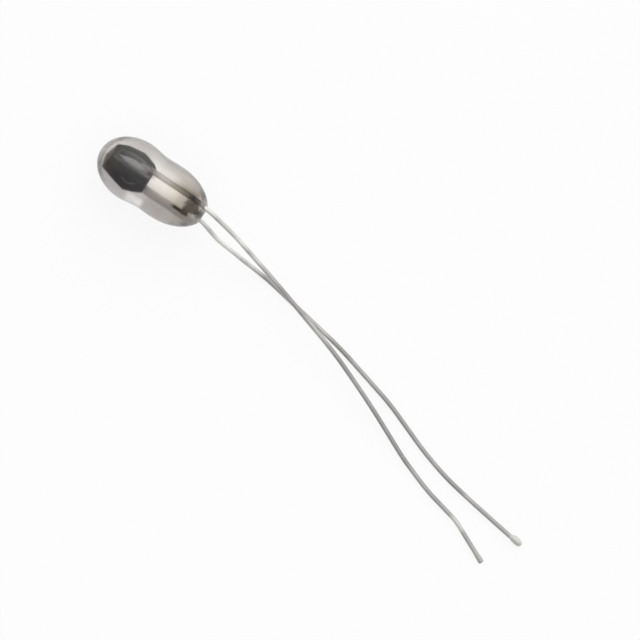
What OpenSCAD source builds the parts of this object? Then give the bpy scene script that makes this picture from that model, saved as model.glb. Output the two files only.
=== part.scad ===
// Bead thermistor: a chip sealed in a drop of glass, with two bare wire leads.
// It lies on its side on the plane z = 0. The origin is on that plane, straight below the
// middle of the bead's head, +X runs from the head towards the leads and +Z is up.

/* [Glass capsule] */
// Length of the capsule, from the nose to the flat of the seal end
capsule_l = 4.05; // [3.4:0.05:6]
// Largest diameter, round the head
head_d = 2.1; // [1.7:0.05:3]
// Distance from the nose to the largest section
head_at = 1.32; // [1:0.02:1.6]
// Diameter of the barrel behind the head
barrel_d = 1.97; // [1.6:0.01:2.8]
// Depth of the shallow neck between the head and the barrel
neck_dip = 0.045; // [0:0.005:0.12]
// Length over which the seal end would round off to a point
seal_l = 1.53; // [1:0.01:2]
// Diameter of the small flat at the seal end
seal_flat_d = 0.55; // [0.2:0.05:1]

/* [Sensing chip] */
// Length of the chip along the capsule
chip_l = 1.36; // [0.9:0.02:1.5]
// Width of the chip at its widest, level with the largest section of the head
chip_w = 1; // [0.6:0.05:1.2]
// Width of the chip's end towards the nose
chip_nose_w = 0.4; // [0.2:0.02:1.2]
// Width of the chip's end towards the leads
chip_lead_w = 0.36; // [0.2:0.02:1.2]
// Thickness of the chip between its electrodes
chip_t = 0.5; // [0.25:0.05:0.7]
// Distance from the nose to the middle of the chip
chip_at = 1.22; // [1:0.02:1.6]
// Roll of the chip about the capsule's axis, which lifts one lead above the other
chip_turn = 41; // [0:1:90]
// Thickness of the metal film on each large face
electrode_t = 0.02; // [0.01:0.005:0.05]

/* [Bonds] */
// Length of the paste along the wire
bond_l = 1.1; // [0.4:0.05:1.2]
// Width of the paste on the electrode
bond_w = 0.34; // [0.24:0.02:0.6]
// Thickness of the paste under the wire
bond_line = 0.02; // [0.01:0.005:0.05]

/* [Leads] */
// Diameter of the wire
wire_d = 0.16; // [0.1:0.02:0.24]
// Length of wire that lies on the chip
lead_overlap = 1.2; // [0.4:0.05:1.3]
// How far the lower wire and its paste lie off the middle of the chip
lower_shift = 0.08; // [-0.1:0.01:0.1]
// Straight wire from the seal end to the first bend
lead_stub = 0.1; // [0.1:0.05:1]
// Radius of each bend, to the middle of the wire
bend_r = 0.3; // [0.2:0.05:0.5]
// Straight end of the upper lead, past its kink
upper_tail = 1.65; // [1:0.05:20]
// Straight end of the lower lead, past its last bend
lower_tail = 2.05; // [1:0.05:20]
// Diameter of the drop of tin on the lower lead's end
drop_d = 0.26; // [0.24:0.02:0.6]
// Length of the drop of tin
drop_l = 0.44; // [0.3:0.02:0.8]

/* [Hidden] */

$fn = 48;

// Formed legs of each lead as [length, heading]; a heading is in plan, from +X towards +Y
upper_legs = [[1.1, -10.5], [2.1, -15], [3.2, -17], [2, -22],
              [2.2, -25], [1.3, -20], [1.4, -13], [upper_tail, -25]];
lower_legs = [[0.8, -16.5], [2.2, -5], [3.3, -10], [2.5, -15],
              [2, -21], [1.1, -16], [1.1, -10], [lower_tail, -8.5]];
// How many of those legs slope down before the lead lies on the plane
upper_sloping = 5;
lower_sloping = 2;

// How far each length of wire laps into the next, just enough for them to join as one
lap = 0.00000003;

// Points on each curved stretch of the capsule's profile
profile_steps = 16;
// Points on the half outline of a drop
drop_steps = 12;

head_r = head_d / 2;
barrel_r = barrel_d / 2;
wire_r = wire_d / 2;

// Distance from the chip's middle plane to an electrode's outer face, and to a wire's axis
face_h = chip_t / 2 + electrode_t;
wire_h = face_h + bond_line + wire_r;

// Where a wire's inner end lies along the chip, and its straight length from there to the first bend
wire_start = chip_l / 2 - lead_overlap;
inside_l = capsule_l + lead_stub - chip_at - wire_start;

// Where the seal end starts to round off, and the angle at which its flat cuts it
seal_cut = asin(seal_flat_d / barrel_d);
barrel_at = capsule_l - seal_l * cos(seal_cut);

// Plan of the chip: six-sided, narrower towards both ends
function chip_plan() = let (end = chip_l / 2, mid = head_at - chip_at)
    [[-end, -chip_nose_w / 2], [mid, -chip_w / 2], [end, -chip_lead_w / 2],
     [end, chip_lead_w / 2], [mid, chip_w / 2], [-end, chip_nose_w / 2]];

// Half outline of the capsule as [distance from the nose, radius]
function nose_curve() = [for (i = [0:profile_steps]) let (a = 90 * i / profile_steps)
    [head_at * (1 - cos(a)), head_r * sin(a)]];
function neck_curve() = [for (i = [1:profile_steps - 1]) let (t = i / profile_steps)
    [head_at + t * (barrel_at - head_at),
     barrel_r + (head_r - barrel_r) * (1 + cos(180 * t)) / 2 - neck_dip * pow(sin(180 * t), 2)]];
function seal_curve() = [for (i = [0:profile_steps]) let (a = 90 - (90 - seal_cut) * i / profile_steps)
    [barrel_at + seal_l * cos(a), barrel_r * sin(a)]];

// Half outline of an egg of the given length and width, as [radius, distance from its middle]
function egg_outline(l, w) = [for (i = [0:drop_steps]) let (a = 180 * i / drop_steps)
    [w / 2 * sin(a), -l / 2 * cos(a)]];

// Length of the first n legs of a lead
function run_of(legs, n) = n == 0 ? 0 : legs[n - 1][0] + run_of(legs, n - 1);

// How far a wire lies off the middle of the chip: side is 1 for the upper lead, -1 for the lower
function shift_of(side) = side < 0 ? lower_shift : 0;

// Place of a lead's axis where it leaves the chip, across the capsule and above the plane
function root_y(side) = side * wire_h * sin(chip_turn) + shift_of(side) * cos(chip_turn);
function root_h(side) = head_r + side * wire_h * cos(chip_turn) - shift_of(side) * sin(chip_turn);

// Pitch of leg i: down to the plane, along it, and up a little at the end if a drop lifts it
function pitch_of(side, legs, sloping, end_r, i) =
    i < sloping ? asin((root_h(side) - wire_r) / run_of(legs, sloping)) :
    i < len(legs) - 1 ? 0 : -asin((end_r - wire_r) / legs[i][0]);

// Whole route of a lead as [length, heading, pitch], from the chip to its end
function route(side, legs, sloping, end_r) =
    concat([[inside_l, 0, 0]],
           [for (i = [0:len(legs) - 1]) [legs[i][0], legs[i][1], pitch_of(side, legs, sloping, end_r, i)]]);

// Direction of leg b in the axes of leg a, which runs along its own +X
function turn_to(a, b) = let (h = b[1] - a[1])
    [cos(b[2]) * cos(h) * cos(a[2]) + sin(b[2]) * sin(a[2]),
     cos(b[2]) * sin(h),
     cos(b[2]) * cos(h) * sin(a[2]) - sin(b[2]) * cos(a[2])];

// Length that the bend between two legs takes from each of them
function setback(a, b) = bend_r * tan(acos(turn_to(a, b)[0]) / 2);

module along_x(l, r) {
    rotate([0, 90, 0])
        cylinder(h = l, r = r);
}

// One bend of the wire in the XY plane, from the origin along +X and turning towards +Y
module bend(angle) {
    translate([0, bend_r, 0])
        rotate([0, 0, -90])
            rotate_extrude(angle = angle)
                translate([bend_r, 0])
                    circle(r = wire_r);
}

// A formed wire from leg i on, starting at the origin along +X; a child sits at its far end
module formed_wire(legs, i = 0) {
    leg = legs[i];
    last = i == len(legs) - 1;
    next = last ? leg : legs[i + 1];
    straight = leg[0] - (i == 0 ? 0 : setback(legs[i - 1], leg)) - (last ? 0 : setback(leg, next));
    along_x(straight, wire_r);
    translate([straight, 0, 0]) {
        if (last) {
            children();
        } else {
            aim = turn_to(leg, next);
            angle = acos(aim[0]);
            roll = atan2(aim[2], aim[1]);
            rise = bend_r * (1 - cos(angle));
            translate([-lap, 0, 0])
                rotate([roll, 0, 0])
                    bend(angle);
            translate([bend_r * sin(angle) - 2 * lap, rise * cos(roll), rise * sin(roll)])
                rotate([0, -leg[2], 0])
                    rotate([0, 0, next[1] - leg[1]])
                        rotate([0, next[2], 0])
                            formed_wire(legs, i + 1)
                                children();
        }
    }
}

// Puts its children at the chip's middle, with Z along the chip's thickness
module at_chip(side = 1) {
    translate([chip_at - head_at, 0, head_r])
        rotate([-chip_turn, 0, 0])
            mirror([0, 0, side < 0 ? 1 : 0])
                children();
}

// A plate with the chip's plan
module chip_plate(t) {
    linear_extrude(height = t, center = true)
        polygon(chip_plan());
}

// Inner stretch of a wire, as it lies in the bond and the glass
module inner_wire(side) {
    translate([wire_start, shift_of(side), wire_h])
        along_x(inside_l, wire_r);
}

// The mound of paste on an electrode, before the wire is taken out of it
module paste_mound(side) {
    translate([0, shift_of(side), face_h])
        rotate([90, 0, 90])
            rotate_extrude(angle = 180)
                polygon(egg_outline(bond_l, bond_w));
}

module capsule_form() {
    translate([-head_at, 0, head_r])
        rotate([0, 90, 0])
            rotate_extrude()
                polygon(concat([for (p = concat(nose_curve(), neck_curve(), seal_curve())) [p[1], p[0]]],
                               [[0, capsule_l]]));
}

module glass_capsule() {
    color([0.8, 0.84, 0.81, 0.4])
        difference() {
            capsule_form();
            at_chip()
                chip_plate(2 * face_h);
            for (side = [-1, 1])
                at_chip(side) {
                    paste_mound(side);
                    inner_wire(side);
                }
        }
}

module thermistor_chip() {
    color([0.2, 0.19, 0.17])
        at_chip()
            chip_plate(chip_t);
}

module electrode(side) {
    color([0.36, 0.37, 0.34])
        at_chip(side)
            translate([0, 0, (chip_t + electrode_t) / 2])
                chip_plate(electrode_t);
}

module bond(side) {
    color([0.55, 0.54, 0.52])
        at_chip(side)
            difference() {
                paste_mound(side);
                inner_wire(side);
            }
}

// A lead whose far end has the radius end_r; a child sits at that end
module lead(side, legs, sloping, end_r) {
    color([0.7, 0.7, 0.68])
        translate([chip_at - head_at + wire_start, root_y(side), root_h(side)])
            formed_wire(route(side, legs, sloping, end_r))
                children();
}

module upper_electrode() {
    electrode(1);
}

module lower_electrode() {
    electrode(-1);
}

module upper_bond() {
    bond(1);
}

module lower_bond() {
    bond(-1);
}

module upper_lead() {
    lead(1, upper_legs, upper_sloping, wire_r);
}

module lower_lead() {
    lead(-1, lower_legs, lower_sloping, drop_d / 2)
        rotate([0, 90, 0])
            rotate_extrude()
                polygon(egg_outline(drop_l, drop_d));
}

glass_capsule();
thermistor_chip();
upper_electrode();
lower_electrode();
upper_bond();
lower_bond();
upper_lead();
lower_lead();
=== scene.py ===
# Bead thermistor: a chip sealed in a drop of glass, with two bare wire leads.
# The CAD frame carries the sizes; the pieces made here stand where its nodes stand.
import math

import bmesh
import bpy
from mathutils import Euler, Matrix, Vector


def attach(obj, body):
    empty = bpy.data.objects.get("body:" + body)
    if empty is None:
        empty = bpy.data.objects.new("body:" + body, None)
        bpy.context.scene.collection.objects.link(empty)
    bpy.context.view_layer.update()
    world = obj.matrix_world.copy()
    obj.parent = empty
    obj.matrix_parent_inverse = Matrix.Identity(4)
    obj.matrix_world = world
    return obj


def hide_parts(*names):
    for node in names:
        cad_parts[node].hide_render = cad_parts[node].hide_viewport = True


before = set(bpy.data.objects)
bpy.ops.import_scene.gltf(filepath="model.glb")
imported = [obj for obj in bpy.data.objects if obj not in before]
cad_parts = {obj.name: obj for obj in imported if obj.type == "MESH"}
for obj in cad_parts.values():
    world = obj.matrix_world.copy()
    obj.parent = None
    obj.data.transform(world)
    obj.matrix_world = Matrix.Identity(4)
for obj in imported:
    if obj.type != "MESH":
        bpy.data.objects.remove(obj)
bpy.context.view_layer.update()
MM = 0.001

# Sizes in millimetres, as the part's source gives them
CAPSULE_L = 4.05
HEAD_R = 1.05
HEAD_AT = 1.32
BARREL_R = 0.985
NECK_DIP = 0.045
SEAL_L = 1.53
SEAL_FLAT_R = 0.275
CHIP_L = 1.36
CHIP_W = 1
CHIP_NOSE_W = 0.4
CHIP_LEAD_W = 0.36
CHIP_T = 0.5
CHIP_AT = 1.22
CHIP_TURN = math.radians(41)
ELECTRODE_T = 0.02
BOND_L = 1.1
BOND_W = 0.34
BOND_LINE = 0.02
WIRE_R = 0.08
LEAD_OVERLAP = 1.2
LEAD_STUB = 0.1
LOWER_SHIFT = 0.08
DROP_L = 0.44
DROP_R = 0.13

# Formed legs of each lead past the seal as (length, heading in degrees), and how many of them slope down
UPPER_LEGS = [(1.1, -10.5), (2.1, -15), (3.2, -17), (2, -22), (2.2, -25), (1.3, -20), (1.4, -13), (1.65, -25)]
UPPER_SLOPING = 5
LOWER_LEGS = [(0.8, -16.5), (2.2, -5), (3.3, -10), (2.5, -15), (2, -21), (1.1, -16), (1.1, -10), (2.05, -8.5)]
LOWER_SLOPING = 2

# Places and directions that follow from the sizes
NOSE_X = -HEAD_AT
SEAL_X = NOSE_X + CAPSULE_L
AXIS_Z = HEAD_R
CHIP_MIDDLE = Vector((NOSE_X + CHIP_AT, 0, AXIS_Z))
FACE_H = CHIP_T / 2 + ELECTRODE_T
ACROSS_CHIP = Vector((0, math.cos(CHIP_TURN), -math.sin(CHIP_TURN)))
THROUGH_CHIP = Vector((0, math.sin(CHIP_TURN), math.cos(CHIP_TURN)))

# Small forms that the source leaves to this script: the chip's worn corner and its eased edges
CORNER_OFF = 0.5
CHIP_EASED = 0.02
FILM_EASED = 0.004

# Length of the upper lead's pressed end, the stretch where it widens, and the share it gains per millimetre
PRESSED_L = 0.5
PRESSED_RISE = 0.4
PRESSED_GROWTH = 0.5

# How far the drop of tin hangs to one side of the lower lead
DROP_HANG = 0.02

# The cut end of the upper lead as (distance from the tip, share of the wire's radius)
CUT_END = [(0.5, 1), (0.4, 1), (0.3, 1), (0.2, 1), (0.1, 1), (0.04, 0.97), (0.01, 0.8), (0, 0.6)]

# The drop of tin on the lower lead as (share of its half length, share of its radius, share of its hang)
DROP_FORM = [
    (-1.3, WIRE_R / DROP_R, 0), (-1.0, 1.04 * WIRE_R / DROP_R, 0.1), (-0.85, 0.78, 0.4), (-0.65, 0.92, 0.8),
    (-0.35, 0.99, 1), (0, 1, 1), (0.3, 0.98, 0.9), (0.55, 0.9, 0.7),
    (0.75, 0.75, 0.4), (0.88, 0.55, 0.2), (0.96, 0.33, 0), (1.0, 0.04, 0),
]

# How finely the round shapes are divided, and how close points are when they merge
PROFILE_STEPS = 28
GLASS_SEGMENTS = 112
WIRE_SEGMENTS = 28
ARC_STEPS = 10
MERGED = 0.0001


def finished(name, bm, node, material):
    """Turns a bmesh in millimetres into a piece that stands for a CAD node."""
    bmesh.ops.remove_doubles(bm, verts=bm.verts, dist=MERGED)
    bmesh.ops.recalc_face_normals(bm, faces=bm.faces)
    bmesh.ops.scale(bm, vec=(MM, MM, MM), verts=bm.verts)
    mesh = bpy.data.meshes.new(name)
    bm.to_mesh(mesh)
    bm.free()
    mesh.shade_smooth()
    piece = bpy.data.objects.new(name, mesh)
    bpy.context.scene.collection.objects.link(piece)
    mesh.materials.append(material)
    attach(piece, "root")
    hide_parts(node)
    return piece


# Node group that the finishes share


def new_group(name, inputs, outputs):
    group = bpy.data.node_groups.new(name, "ShaderNodeTree")
    for kind, label in inputs:
        group.interface.new_socket(name=label, in_out="INPUT", socket_type=kind)
    for kind, label in outputs:
        group.interface.new_socket(name=label, in_out="OUTPUT", socket_type=kind)
    return group, group.nodes.new("NodeGroupInput"), group.nodes.new("NodeGroupOutput")


def make_mottle():
    """Soft patches with fine grain over them, both from 0 to 1."""
    number = "NodeSocketFloat"
    group, given, out = new_group(
        "mottle",
        [("NodeSocketVector", "Position"), (number, "Patch Scale"), (number, "Grain Scale")],
        [(number, "Patches"), (number, "Grain")],
    )
    for label, scale, detail in (("Patches", "Patch Scale", 2.0), ("Grain", "Grain Scale", 4.0)):
        noise = group.nodes.new("ShaderNodeTexNoise")
        noise.inputs["Detail"].default_value = detail
        noise.inputs["Roughness"].default_value = 0.55
        spread = group.nodes.new("ShaderNodeMapRange")
        spread.inputs["From Min"].default_value = 0.3
        spread.inputs["From Max"].default_value = 0.7
        group.links.new(given.outputs["Position"], noise.inputs["Vector"])
        group.links.new(given.outputs[scale], noise.inputs["Scale"])
        group.links.new(noise.outputs["Fac"], spread.inputs["Value"])
        group.links.new(spread.outputs["Result"], out.inputs[label])
    return group


MOTTLE = make_mottle()


class Finish:
    """A material's nodes, with short ways to add and join them."""

    def __init__(self, name):
        self.material = bpy.data.materials.new(name)
        self.material.use_nodes = True
        self.tree = self.material.node_tree
        self.shader = self.tree.nodes["Principled BSDF"]

    def add(self, kind, **settings):
        node = self.tree.nodes.new(kind)
        for key, setting in settings.items():
            setattr(node, key, setting)
        return node

    def give(self, end, given):
        """Sets a socket to a plain number or colour, or joins another node's output to it."""
        if isinstance(given, (int, float)):
            end.default_value = given
        elif isinstance(given, tuple):
            end.default_value = (*given, 1)
        else:
            self.tree.links.new(given, end)

    def set(self, **values):
        """Gives values to the shader's sockets, with _ for the spaces in their names."""
        for key, given in values.items():
            self.give(self.shader.inputs[key.replace("_", " ")], given)

    def math(self, how, first, second=0):
        node = self.add("ShaderNodeMath", operation=how)
        self.give(node.inputs[0], first)
        self.give(node.inputs[1], second)
        return node.outputs[0]

    def product(self, first, *others):
        for other in others:
            first = self.math("MULTIPLY", first, other)
        return first

    def mix(self, share, first, second, how="MIX"):
        node = self.add("ShaderNodeMix", data_type="RGBA", blend_type=how)
        self.give(node.inputs[0], share)
        self.give(node.inputs[6], first)
        self.give(node.inputs[7], second)
        return node.outputs[2]

    def darken_by(self, share, base, tint):
        """The base darkened by a tint."""
        return self.mix(share, base, tint, "MULTIPLY")

    def ramp(self, value, *stops):
        node = self.add("ShaderNodeValToRGB")
        marks = node.color_ramp.elements
        while len(marks) < len(stops):
            marks.new(0.5)
        for mark, (position, colour) in zip(marks, stops):
            mark.position = position
            mark.color = (*colour, 1)
        self.give(node.inputs["Fac"], value)
        return node.outputs["Color"]

    def span(self, value, low, high, to_low=0.0, to_high=1.0, slope="SMOOTHSTEP"):
        """Turns one span of a value into another, eased at both ends."""
        node = self.add("ShaderNodeMapRange", interpolation_type=slope)
        self.give(node.inputs["Value"], value)
        self.give(node.inputs["From Min"], low)
        self.give(node.inputs["From Max"], high)
        self.give(node.inputs["To Min"], to_low)
        self.give(node.inputs["To Max"], to_high)
        return node.outputs["Result"]

    def even(self, value, low, high, to_low=0.0, to_high=1.0):
        """As span, with an even slope from end to end."""
        return self.span(value, low, high, to_low, to_high, "LINEAR")

    def band(self, value, rise, fall, after=0.0):
        """Up from 0 to 1 over the rise, and down over the fall to what stays after it."""
        return self.product(self.span(value, *rise), self.span(value, *fall, 1.0, after))

    def stripe(self, value, middle, inner, outer):
        """1 within the inner distance of a middle value, down to 0 at the outer one."""
        away = self.math("ABSOLUTE", self.math("SUBTRACT", value, middle))
        return self.span(away, inner, outer, 1.0, 0.0)

    def bump(self, height, depth_mm):
        node = self.add("ShaderNodeBump")
        node.inputs["Distance"].default_value = depth_mm * MM
        node.inputs["Strength"].default_value = 1.0
        self.give(node.inputs["Height"], height)
        self.set(Normal=node.outputs["Normal"])


class PieceFinish(Finish):
    """A finish that changes over a piece, by places on it in millimetres."""

    def __init__(self, name):
        super().__init__(name)
        scaled = self.add("ShaderNodeVectorMath", operation="SCALE")
        self.give(scaled.inputs["Vector"], self.add("ShaderNodeTexCoord").outputs["Object"])
        self.give(scaled.inputs["Scale"], 1 / MM)
        self.place = scaled.outputs["Vector"]
        axes = self.add("ShaderNodeSeparateXYZ")
        self.give(axes.inputs["Vector"], self.place)
        self.x, self.y, self.z = axes.outputs

    def mottle(self, patch_size, grain_size=0.05, place=None):
        """Patches and grain of two sizes."""
        node = self.add("ShaderNodeGroup", node_tree=MOTTLE)
        self.give(node.inputs["Position"], place or self.place)
        self.give(node.inputs["Patch Scale"], 1 / patch_size)
        self.give(node.inputs["Grain Scale"], 1 / grain_size)
        return node.outputs["Patches"], node.outputs["Grain"]

    def along(self, direction):
        """Distance from the capsule's axis in one direction."""
        node = self.add("ShaderNodeVectorMath", operation="DOT_PRODUCT")
        self.give(node.inputs[0], self.place)
        node.inputs[1].default_value = direction
        return self.math("SUBTRACT", node.outputs["Value"], AXIS_Z * direction.z)

    def near(self, spot, inner, outer):
        """1 within the inner distance of a spot on the piece, down to 0 at the outer one."""
        node = self.add("ShaderNodeVectorMath", operation="DISTANCE")
        self.give(node.inputs[0], self.place)
        node.inputs[1].default_value = spot
        return self.span(node.outputs["Value"], inner, outer, 1.0, 0.0)


# The finish of the glass, with its painted shade and light and its stains in the order in which they lie over
# each other


def upper_half(glass):
    """1 on the upper half only, because a mark on the under side looks wider through the glass."""
    return glass.span(glass.z, AXIS_Z, 1.3)


def painted_side_shade_and_tints(glass, tint):
    """Painted shade, darkest on the side away from the light and clear along the lit side, greyer at its far
    edge; warmer and darker between the wires towards the seal; greyer over the head.
    """
    side_shade = glass.ramp(glass.even(glass.y, -HEAD_R, HEAD_R), (0.0, (0.64, 0.62, 0.63)),
                      (0.12, (0.5, 0.475, 0.485)), (0.3, (0.53, 0.505, 0.505)), (0.44, (0.78, 0.755, 0.73)),
                      (0.53, (0.97, 0.94, 0.91)), (0.76, (1.0, 0.97, 0.93)), (0.84, (0.7, 0.68, 0.66)),
                      (0.92, (0.55, 0.53, 0.51)), (1.0, (0.54, 0.52, 0.5)))
    tint = glass.darken_by(1.0, tint, side_shade)
    warm = glass.ramp(glass.even(glass.x, 0.6, 2.7), (0.0, (1, 1, 1)), (0.286, (1.0, 0.97, 0.93)),
                      (0.43, (0.86, 0.82, 0.76)), (0.5, (0.68, 0.64, 0.57)), (0.571, (0.42, 0.385, 0.33)),
                      (0.8, (0.36, 0.32, 0.27)), (0.9, (0.95, 0.93, 0.9)))
    clouds = glass.mottle(0.4)[0]
    warm = glass.mix(glass.even(clouds, 0, 1, 0, 0.22), warm, (0.96, 0.91, 0.82))
    tint = glass.darken_by(glass.band(glass.y, (-0.4, -0.3), (0.25, 0.4)), tint, warm)
    return glass.darken_by(glass.span(glass.x, -0.2, 0.5, 1, 0), tint, (0.84, 0.83, 0.84))


def barrel_shade(glass, tint):
    """Painted shade along both sides of the barrel, and a grey spot past the chip."""
    low_side = glass.ramp(glass.even(glass.x, 0.7, 2.2), (0.0, (1, 1, 1)), (0.15, (0.64, 0.62, 0.63)),
                          (0.53, (0.62, 0.6, 0.6)), (0.73, (0.8, 0.78, 0.77)), (1.0, (0.95, 0.93, 0.92)))
    tint = glass.darken_by(glass.span(glass.y, -0.5, -0.4, 1, 0), tint, low_side)
    high_side = glass.ramp(glass.even(glass.y, 0.3, 1), (0.0, (1, 1, 1)), (0.25, (0.8, 0.79, 0.78)),
                           (0.6, (0.74, 0.73, 0.72)), (0.8, (0.62, 0.61, 0.6)), (1.0, (0.72, 0.71, 0.7)))
    tint = glass.darken_by(glass.band(glass.x, (0.4, 0.9), (1.5, 2), 0.3), tint, high_side)
    grey_spot = glass.product(glass.band(glass.x, (0.4, 0.5), (0.62, 0.85)),
                         glass.stripe(glass.y, 0.24, 0.12, 0.2), upper_half(glass))
    return glass.darken_by(grey_spot, tint, (0.55, 0.53, 0.52))


def neck_highlight_and_clear_end(glass, tint):
    """Painted highlight: the glass left clear on one side where the neck draws in; clear again at the seal's
    end.
    """
    neck = glass.product(glass.band(glass.x, (0.1, 0.4), (0.7, 0.9)),
                         glass.span(glass.y, -0.8, -0.6, 1, 0), glass.span(glass.z, 0.3, 1, 0.4, 1))
    tint = glass.mix(neck, tint, (1, 0.99, 0.99))
    return glass.mix(glass.span(glass.x, 2.2, 2.8), tint, (1, 0.98, 0.96))


def olive_line_and_shade(glass, tint):
    """Dark olive along the upper wire, with painted shade beside it that fades further from the wire."""
    olive_and_shade = glass.ramp(glass.even(glass.y, 0.2, 0.76), (0.0, (1, 1, 1)), (0.18, (0.8, 0.78, 0.73)),
                       (0.29, (0.16, 0.14, 0.1)), (0.43, (0.17, 0.15, 0.11)), (0.57, (0.38, 0.36, 0.32)),
                       (0.71, (0.52, 0.5, 0.46)), (0.86, (0.72, 0.7, 0.67)), (1.0, (1, 1, 1)))
    beside_upper_wire = glass.product(glass.band(glass.x, (1, 1.85), (2.2, 2.45), 0.3), upper_half(glass))
    return glass.darken_by(beside_upper_wire, tint, olive_and_shade)


def seal_oxide(glass, tint):
    """Brown oxide in a line along the lower wire, and in a ragged blot in the seal."""
    line = glass.product(glass.band(glass.x, (1.55, 1.8), (2.26, 2.36)),
                         glass.stripe(glass.y, -0.27, 0.03, 0.1), upper_half(glass))
    tint = glass.mix(line, tint, (0.004, 0.002, 0.001))
    flecks, specks = glass.mottle(0.22, 0.12)
    ragged_x = glass.math("ADD", glass.x, glass.even(specks, 0, 1, -0.06, 0.06))
    ragged_y = glass.math("ADD", glass.y, glass.even(flecks, 0, 1, -0.05, 0.05))
    taper = glass.product(glass.math("MAXIMUM", glass.math("SUBTRACT", ragged_x, 2.2), 0), 0.8)
    away = glass.math("ABSOLUTE", glass.math("SUBTRACT", ragged_y, 0.02))
    blot = glass.product(glass.span(glass.math("ADD", away, taper), 0.31, 0.4, 1, 0),
                         glass.span(ragged_x, 1.93, 2.09), upper_half(glass),
                         glass.even(flecks, 0, 1, 0.94, 1))
    return glass.mix(blot, tint, (0.011, 0.0065, 0.003))


def clear_glass():
    glass = PieceFinish("clear_glass")
    # Painted shade: the glass turns greyer where its surface faces away from the eye, towards its outline
    edge = glass.add("ShaderNodeLayerWeight")
    edge.inputs["Blend"].default_value = 0.5
    tint = glass.ramp(edge.outputs["Facing"], (0.0, (0.97, 0.965, 0.955)), (0.5, (0.86, 0.85, 0.84)),
                      (1.0, (0.72, 0.705, 0.7)))
    for tint_step in (painted_side_shade_and_tints, barrel_shade, neck_highlight_and_clear_end, olive_line_and_shade, seal_oxide):
        tint = tint_step(glass, tint)
    waves, grain = glass.mottle(0.6, 0.05)
    glass.set(Transmission_Weight=1.0, IOR=1.5)
    glass.set(Base_Color=tint, Roughness=glass.even(grain, 0, 1, 0.16, 0.22))
    glass.bump(waves, 0.001)
    return glass.material


# Finishes of the chip stack


def chip_ceramic():
    ceramic = PieceFinish("chip_ceramic")
    patches, grain = ceramic.mottle(0.25, 0.02)
    base = ceramic.ramp(patches, (0.0, (0.01, 0.008, 0.009)), (1.0, (0.02, 0.016, 0.018)))
    base = ceramic.mix(ceramic.even(grain, 0, 1, 0, 0.5), base, (0.035, 0.03, 0.032))
    # Browner towards the nose
    base = ceramic.mix(ceramic.span(ceramic.x, -0.6, -0.35, 0.9, 0), base, (0.052, 0.034, 0.02))
    # A painted glint: a short paler line along the middle of the chip's side
    glint_line = ceramic.product(ceramic.stripe(ceramic.along(THROUGH_CHIP), 0, 0.01, 0.04),
                           ceramic.stripe(ceramic.x, 0.01, 0.14, 0.28))
    base = ceramic.mix(glint_line, base, (0.2, 0.185, 0.195))
    ceramic.set(Base_Color=base, Roughness=ceramic.even(grain, 0, 1, 0.42, 0.62))
    ceramic.bump(grain, 0.004)
    return ceramic.material


def electrode_film():
    film = PieceFinish("electrode_film")
    across = film.along(ACROSS_CHIP)
    patches, grain = film.mottle(0.2, 0.015)
    # Nearly black at one edge, smeared with paste beside the wire, faintly green at the other edge
    smeared = film.ramp(film.even(across, -CHIP_W / 2, CHIP_W / 2), (0.2, (0.004, 0.003, 0.0035)),
                        (0.25, (0.05, 0.05, 0.052)), (0.3, (0.14, 0.142, 0.147)),
                        (0.45, (0.14, 0.142, 0.147)), (0.62, (0.05, 0.056, 0.047)),
                        (0.75, (0.03, 0.035, 0.028)), (1.0, (0.036, 0.039, 0.034)))
    thick = film.product(film.span(film.x, -0.1, 0.25), film.stripe(across, -0.1, 0.06, 0.1))
    smeared = film.mix(thick, smeared, (0.36, 0.35, 0.36))
    base = film.mix(film.band(film.x, (-0.8, -0.6), (0.52, 0.6)), (0.03, 0.024, 0.019), smeared)
    base = film.darken_by(1.0, base, film.ramp(patches, (0.0, (0.75, 0.75, 0.75)), (1.0, (1, 1, 1))))
    base = film.mix(film.even(grain, 0, 1, 0, 0.12), base, (0.07, 0.07, 0.066))
    film.set(Base_Color=base, Roughness=film.even(grain, 0, 1, 0.35, 0.55), Metallic=0.3)
    film.bump(grain, 0.002)
    return film.material


def bond_paste():
    paste = PieceFinish("bond_paste")
    across = paste.along(ACROSS_CHIP)
    patches, grain = paste.mottle(0.12, 0.015)
    # Painted light and shade across the mound: pale on one flank, dark on the other
    base = paste.ramp(paste.even(across, -BOND_W / 2, BOND_W / 2), (0.0, (0.8, 0.8, 0.82)),
                      (0.16, (0.54, 0.545, 0.56)), (0.335, (0.36, 0.365, 0.375)), (0.59, (0.17, 0.175, 0.17)),
                      (0.8, (0.12, 0.125, 0.12)), (1.0, (0.1, 0.103, 0.1)))
    base = paste.mix(paste.span(paste.x, 0, 0.3, 0, 0.4), base, (0.56, 0.53, 0.55))
    base = paste.darken_by(1.0, base, paste.ramp(patches, (0.0, (0.8, 0.8, 0.8)), (1.0, (1, 1, 1))))
    base = paste.mix(paste.even(grain, 0, 1, 0, 0.2), base, (0.4, 0.4, 0.4))
    paste.set(Base_Color=base, Roughness=paste.even(grain, 0, 1, 0.35, 0.55), Metallic=0.4)
    paste.bump(grain, 0.004)
    return paste.material


# Finish of the wires


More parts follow.
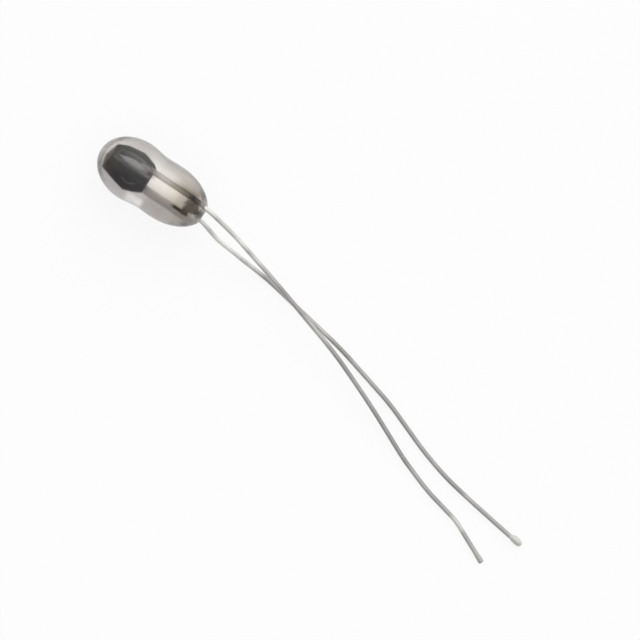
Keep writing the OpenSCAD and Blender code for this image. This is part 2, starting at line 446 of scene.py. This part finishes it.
def weathered_tin(wire, patches, lines):
    """The bare wire: fresh near the glass, dull and then darker further out, paler again at the far ends."""
    dull = wire.ramp(patches, (0.0, (0.4, 0.395, 0.385)), (0.5, (0.52, 0.51, 0.5)), (1.0, (0.64, 0.63, 0.61)))
    fresh = wire.ramp(patches, (0.0, (0.52, 0.51, 0.5)), (0.6, (0.8, 0.79, 0.77)), (1.0, (0.94, 0.93, 0.9)))
    tin = wire.mix(wire.span(wire.x, 3.5, 7.5), fresh, dull)
    tin = wire.mix(wire.span(wire.x, 8.8, 10.5, 0, 0.33), tin, (0.22, 0.215, 0.21))
    tin = wire.mix(wire.even(wire.x, 12.2, 16, 0, 0.28), tin, (0.78, 0.77, 0.75))
    # Bright tin left at the kink of one lead and on the drop of the other
    tin = wire.mix(wire.near((15.45, -3.9, 0.08), 0.2, 0.45), tin, (0.7, 0.71, 0.67))
    tin = wire.mix(wire.span(wire.x, 17.1, 17.22), tin, (0.7, 0.7, 0.65))
    return wire.mix(wire.even(lines, 0, 1, 0, 0.22), tin, (0.3, 0.29, 0.275))


def wire_in_glass(wire, is_upper):
    """Inside the glass: dark on the chip, pale behind it, and the upper wire oxidised brown in the seal."""
    inside = wire.even(wire.x, -0.6, 3)
    upper = wire.ramp(inside, (0.0, (0.08, 0.083, 0.083)), (0.265, (0.12, 0.12, 0.12)),
                      (0.31, (0.5, 0.48, 0.47)), (0.35, (0.8, 0.77, 0.75)), (0.43, (0.9, 0.87, 0.84)),
                      (0.5, (0.86, 0.82, 0.77)), (0.56, (0.7, 0.65, 0.56)), (0.63, (0.62, 0.56, 0.45)),
                      (0.68, (0.5, 0.44, 0.33)), (0.74, (0.14, 0.11, 0.075)))
    lower = wire.ramp(inside, (0.0, (0.4, 0.41, 0.42)), (0.3, (0.8, 0.77, 0.75)), (0.38, (0.9, 0.87, 0.84)),
                      (0.75, (0.85, 0.8, 0.75)), (0.85, (0.5, 0.45, 0.38)))
    # Paste drawn up the side of the upper wire where it leaves the chip
    pasted = wire.product(wire.stripe(wire.x, 0.3, 0.16, 0.3),
                          wire.span(wire.along(ACROSS_CHIP), -0.04, 0.02, 1, 0), is_upper)
    return wire.mix(pasted, wire.mix(is_upper, lower, upper), (0.4, 0.385, 0.385))


def tinned_wire():
    wire = PieceFinish("tinned_wire")
    drawn = wire.add("ShaderNodeMapping")
    drawn.inputs["Scale"].default_value = (0.06, 1, 1)
    wire.give(drawn.inputs["Vector"], wire.place)
    lines = wire.mottle(0.1, place=drawn.outputs["Vector"])[0]
    patches = wire.mottle(1.2)[0]
    # In the glass the two wires lie on either side of the axis, and the upper one stays brown for longer
    is_upper = wire.span(wire.y, -0.1, 0.1)
    bare = wire.even(wire.math("SUBTRACT", wire.x, wire.product(is_upper, 0.14)), 2.19, 2.33)
    colour = wire.mix(bare, wire_in_glass(wire, is_upper), weathered_tin(wire, patches, lines))
    wire.set(Base_Color=colour, Metallic=bare, Roughness=wire.even(patches, 0, 1, 0.55, 0.42))
    wire.bump(lines, 0.003)
    return wire.material


GLASS = clear_glass()
CERAMIC = chip_ceramic()
FILM = electrode_film()
PASTE = bond_paste()
TIN = tinned_wire()


# The glass


def capsule_profile():
    """Half outline of the capsule as (distance from the nose, radius)."""
    cut = math.asin(SEAL_FLAT_R / BARREL_R)
    barrel_at = CAPSULE_L - SEAL_L * math.cos(cut)
    points = []
    for i in range(PROFILE_STEPS + 1):
        a = math.pi / 2 * i / PROFILE_STEPS
        points.append((HEAD_AT * (1 - math.cos(a)), HEAD_R * math.sin(a)))
    for i in range(1, PROFILE_STEPS):
        t = i / PROFILE_STEPS
        waist = NECK_DIP * math.sin(math.pi * t) ** 2
        points.append((HEAD_AT + t * (barrel_at - HEAD_AT),
                       BARREL_R + (HEAD_R - BARREL_R) * (1 + math.cos(math.pi * t)) / 2 - waist))
    for i in range(PROFILE_STEPS + 1):
        a = math.pi / 2 - (math.pi / 2 - cut) * i / PROFILE_STEPS
        points.append((barrel_at + SEAL_L * math.cos(a), BARREL_R * math.sin(a)))
    return points + [(CAPSULE_L, 0)]


def blown_glass():
    bm = bmesh.new()
    line = [bm.verts.new((NOSE_X + s, 0, AXIS_Z + r)) for s, r in capsule_profile()]
    edges = [bm.edges.new(pair) for pair in zip(line, line[1:])]
    bmesh.ops.spin(bm, geom=line + edges, cent=(0, 0, AXIS_Z), axis=(1, 0, 0), angle=2 * math.pi,
                   steps=GLASS_SEGMENTS, use_merge=True)
    return finished("glass_drop", bm, "glass_capsule", GLASS)


# The chip stack


def at_chip(bm, side=1):
    """Rolls a shape made round the chip's middle into its place in the glass."""
    if side < 0:
        bmesh.ops.scale(bm, vec=(1, 1, -1), verts=bm.verts)
    bmesh.ops.rotate(bm, matrix=Matrix.Rotation(-CHIP_TURN, 3, "X"), verts=bm.verts)
    bmesh.ops.translate(bm, vec=CHIP_MIDDLE, verts=bm.verts)


def chip_plan():
    """The chip's six corners, from its nose round to the lead end and back."""
    end, widest = CHIP_L / 2, HEAD_AT - CHIP_AT
    one_side = [(-end, CHIP_NOSE_W / 2), (widest, CHIP_W / 2), (end, CHIP_LEAD_W / 2)]
    return [(x, -y) for x, y in one_side] + one_side[::-1]


def chip_layer(name, node, material, low, high, eased, side=1):
    """A layer of the chip stack with the chip's plan, one corner worn off, between two heights."""
    bm = bmesh.new()
    face = bm.faces.new([bm.verts.new((x, y, low)) for x, y in chip_plan()])
    made = bmesh.ops.extrude_face_region(bm, geom=[face])["geom"]
    raised = [g for g in made if isinstance(g, bmesh.types.BMVert)]
    bmesh.ops.translate(bm, vec=(0, 0, high - low), verts=raised)
    corner = Vector((HEAD_AT - CHIP_AT, CHIP_W / 2))
    worn = [e for e in bm.edges if all((v.co.xy - corner).length < 0.001 for v in e.verts)]
    for edges, offset, segments in ((worn, CORNER_OFF, 2), (bm.edges, eased, 3)):
        bmesh.ops.bevel(bm, geom=edges, offset=offset, offset_type="OFFSET", segments=segments, profile=0.5,
                        affect="EDGES", material=-1)
    at_chip(bm, side)
    return finished(name, bm, node, material)


def paste_mound(name, node, side, shift):
    """A mound of paste as long as the bond, round across, with its flat side on the film."""
    bm = bmesh.new()
    bmesh.ops.create_uvsphere(bm, u_segments=48, v_segments=32, radius=1)
    bmesh.ops.scale(bm, vec=(BOND_L / 2, BOND_W / 2, BOND_W / 2), verts=bm.verts)
    cut = bmesh.ops.bisect_plane(bm, geom=bm.verts[:] + bm.edges[:] + bm.faces[:], dist=0.00001,
                                 plane_co=(0, 0, 0), plane_no=(0, 0, 1), clear_inner=True)
    rim = [g for g in cut["geom_cut"] if isinstance(g, bmesh.types.BMEdge)]
    bmesh.ops.contextual_create(bm, geom=rim)
    bmesh.ops.translate(bm, vec=(0, shift, FACE_H), verts=bm.verts)
    at_chip(bm, side)
    return finished(name, bm, node, PASTE)


# The leads


def lead_corners(side, shift, legs, sloping, end_r):
    """Corners of a lead's route, from its inner end on the chip to the middle of its far end."""
    inner_end = CHIP_MIDDLE + Vector((CHIP_L / 2 - LEAD_OVERLAP, 0, 0))
    inner_end += side * (FACE_H + BOND_LINE + WIRE_R) * THROUGH_CHIP + shift * ACROSS_CHIP
    fall = math.asin((inner_end.z - WIRE_R) / sum(length for length, heading in legs[:sloping]))
    last_rise = math.asin((end_r - WIRE_R) / legs[-1][0])
    pitches = [-fall] * sloping + [0] * (len(legs) - sloping - 1) + [last_rise]
    corners = [inner_end, Vector((SEAL_X + LEAD_STUB, inner_end.y, inner_end.z))]
    for (length, heading), pitch in zip(legs, pitches):
        leg = Vector((length, 0, 0))
        leg.rotate(Euler((0, -pitch, math.radians(heading))))
        corners.append(corners[-1] + leg)
    return corners


def eased_route(corners, slack=0.012, most=0.45):
    """The route with each corner eased into a curve that stays close to it."""
    points = [corners[0]]
    for before, corner, after in zip(corners, corners[1:], corners[2:]):
        back, on = before - corner, after - corner
        half = (math.pi - back.angle(on)) / 2
        reach = min(most * back.length, most * on.length, 2 * slack / max(math.sin(half), 0.001))
        start, end = corner + back.normalized() * reach, corner + on.normalized() * reach
        for i in range(ARC_STEPS + 1):
            t = i / ARC_STEPS
            points.append(start * (1 - t) ** 2 + corner * 2 * t * (1 - t) + end * t ** 2)
    return points + [corners[-1]]


def drawn_wire(points, radii):
    """A round wire along the points, with its own radius at each."""
    bm = bmesh.new()
    ahead = [(b - a).normalized() for a, b in zip(points, points[1:])]
    ahead.append(ahead[-1])
    way = [ahead[0]] + [(a + b).normalized() for a, b in zip(ahead, ahead[1:])]
    facing = Vector((0, 0, 1)).rotation_difference(way[0]).to_matrix().to_4x4()
    ring = bmesh.ops.create_circle(bm, cap_ends=True, segments=WIRE_SEGMENTS, radius=radii[0],
                                   matrix=Matrix.Translation(points[0]) @ facing)["verts"]
    edges = [e for e in bm.edges if e.verts[0] in ring and e.verts[1] in ring]
    for i in range(1, len(points)):
        made = bmesh.ops.extrude_edge_only(bm, edges=edges)["geom"]
        ring = [g for g in made if isinstance(g, bmesh.types.BMVert)]
        edges = [g for g in made if isinstance(g, bmesh.types.BMEdge) and all(v in ring for v in g.verts)]
        turn = way[i - 1].rotation_difference(way[i]).to_matrix().to_4x4()
        grow = Matrix.Scale(radii[i] / radii[i - 1], 4)
        bmesh.ops.transform(bm, verts=ring, matrix=Matrix.Translation(points[i]) @ turn @ grow
                            @ Matrix.Translation(-points[i - 1]))
    bmesh.ops.contextual_create(bm, geom=edges)
    return bm


def cut_lead():
    """The lead whose end was cut, which pressed it a little wider and rounded it."""
    points = eased_route(lead_corners(1, 0, UPPER_LEGS, UPPER_SLOPING, WIRE_R))
    tip = points.pop()
    last = (tip - points[-1]).normalized()
    across = Vector((-last.y, last.x, 0))
    radii = [WIRE_R] * len(points)
    for back, share in CUT_END:
        points.append(tip - last * back)
        radii.append(WIRE_R * share)
    bm = drawn_wire(points, radii)
    for v in bm.verts:
        past = (v.co - tip).dot(last) + PRESSED_L
        if past > 0:
            v.co += across * (v.co - tip).dot(across) * PRESSED_GROWTH * min(past, PRESSED_RISE)
    return finished("upper_wire", bm, "upper_lead", TIN)


def dipped_lead():
    """The lead whose end was dipped, with a drop of tin hung on one side of it."""
    points = eased_route(lead_corners(-1, LOWER_SHIFT, LOWER_LEGS, LOWER_SLOPING, DROP_R))
    middle = points.pop()
    last = (middle - points[-1]).normalized()
    aside = Vector((-last.y, last.x, 0)) * DROP_HANG
    radii = [WIRE_R] * len(points)
    for along, share, hang in DROP_FORM:
        points.append(middle + last * DROP_L / 2 * along + aside * hang)
        radii.append(DROP_R * share)
    return finished("lower_wire", drawn_wire(points, radii), "lower_lead", TIN)


blown_glass()
chip_layer("sawn_chip", "thermistor_chip", CERAMIC, -CHIP_T / 2, CHIP_T / 2, CHIP_EASED)
chip_layer("upper_film", "upper_electrode", FILM, CHIP_T / 2, FACE_H, FILM_EASED)
chip_layer("lower_film", "lower_electrode", FILM, CHIP_T / 2, FACE_H, FILM_EASED, -1)
paste_mound("upper_paste", "upper_bond", 1, 0)
paste_mound("lower_paste", "lower_bond", -1, LOWER_SHIFT)
cut_lead()
dipped_lead()


# Floor, light and camera, with their places in millimetres

FLOOR_SIZE = 1500
WHITE_SEEN = 0.86
WHITE_THROUGH_GLASS = 0.2
LIT_FROM = Vector((-0.1, 0.8, 0.6)).normalized()
VIEW_MIDDLE = Vector((7.89, -0.75, 0.6))
VIEW_W = 21.333
VIEW_TURN = math.radians(33.4)
LENS = 400
SENSOR_W = 36


def pale_floor():
    """Paper that shows white to the camera and to metal, less so through the glass, with a soft shadow."""
    bm = bmesh.new()
    bmesh.ops.create_grid(bm, x_segments=1, y_segments=1, size=FLOOR_SIZE * MM)
    mesh = bpy.data.meshes.new("floor")
    bm.to_mesh(mesh)
    bm.free()
    floor = bpy.data.objects.new("floor", mesh)
    bpy.context.scene.collection.objects.link(floor)
    paper = Finish("white_paper")
    paper.set(Base_Color=(0.9, 0.9, 0.895), Roughness=0.9, Specular_IOR_Level=0.0)
    glow = paper.add("ShaderNodeEmission")
    rays = paper.add("ShaderNodeLightPath")
    seen = paper.math("MAXIMUM", rays.outputs["Is Camera Ray"], rays.outputs["Is Glossy Ray"])
    seen = paper.product(seen, WHITE_SEEN)
    through = paper.product(rays.outputs["Is Transmission Ray"], WHITE_THROUGH_GLASS)
    blend = paper.add("ShaderNodeMixShader")
    paper.give(blend.inputs["Fac"], paper.math("MAXIMUM", seen, through))
    paper.give(blend.inputs[1], paper.shader.outputs["BSDF"])
    paper.give(blend.inputs[2], glow.outputs["Emission"])
    paper.give(paper.tree.nodes["Material Output"].inputs["Surface"], blend.outputs["Shader"])
    mesh.materials.append(paper.material)


def studio_world():
    """Soft light from all round, strongest from one broad side, with white behind everything."""
    world = bpy.data.worlds.new("studio")
    world.use_nodes = True
    bpy.context.scene.world = world
    tree = world.node_tree
    where = tree.nodes.new("ShaderNodeTexCoord")
    toward = tree.nodes.new("ShaderNodeVectorMath")
    toward.operation = "DOT_PRODUCT"
    toward.inputs[1].default_value = LIT_FROM
    level = tree.nodes.new("ShaderNodeMapRange")
    level.inputs["From Min"].default_value = -0.2
    level.inputs["To Min"].default_value = 0.5
    level.inputs["To Max"].default_value = 1.2
    rays = tree.nodes.new("ShaderNodeLightPath")
    pick = tree.nodes.new("ShaderNodeMix")
    pick.inputs["B"].default_value = 1
    tree.links.new(where.outputs["Generated"], toward.inputs[0])
    tree.links.new(toward.outputs["Value"], level.inputs["Value"])
    tree.links.new(rays.outputs["Is Camera Ray"], pick.inputs["Factor"])
    tree.links.new(level.outputs["Result"], pick.inputs["A"])
    tree.links.new(pick.outputs["Result"], tree.nodes["Background"].inputs["Color"])


def soft_lamp(name, place, aim, size, watts):
    """A round lamp that lights the part and isn't mirrored in it."""
    data = bpy.data.lights.new(name, "AREA")
    data.shape = "DISK"
    data.size = size * MM
    data.energy = watts
    lamp = bpy.data.objects.new(name, data)
    lamp.location = Vector(place) * MM
    lamp.rotation_euler = (Vector(aim) - Vector(place)).to_track_quat("-Z", "Y").to_euler()
    lamp.visible_glossy = False
    bpy.context.scene.collection.objects.link(lamp)


def overhead_camera():
    """A long lens straight above the part, far enough off for its view to be as wide as the photo's."""
    data = bpy.data.cameras.new("camera")
    data.lens = LENS
    data.sensor_width = SENSOR_W
    data.clip_start, data.clip_end = 0.001, 10
    camera = bpy.data.objects.new("camera", data)
    camera.location = (VIEW_MIDDLE + Vector((0, 0, VIEW_W * LENS / SENSOR_W))) * MM
    camera.rotation_euler = (0, 0, VIEW_TURN)
    bpy.context.scene.collection.objects.link(camera)
    bpy.context.scene.camera = camera


pale_floor()
studio_world()
soft_lamp("key", place=(-30, 200, 160), aim=(4, 0, 0), size=220, watts=0.15)
overhead_camera()
bpy.context.scene.view_settings.view_transform = "Standard"
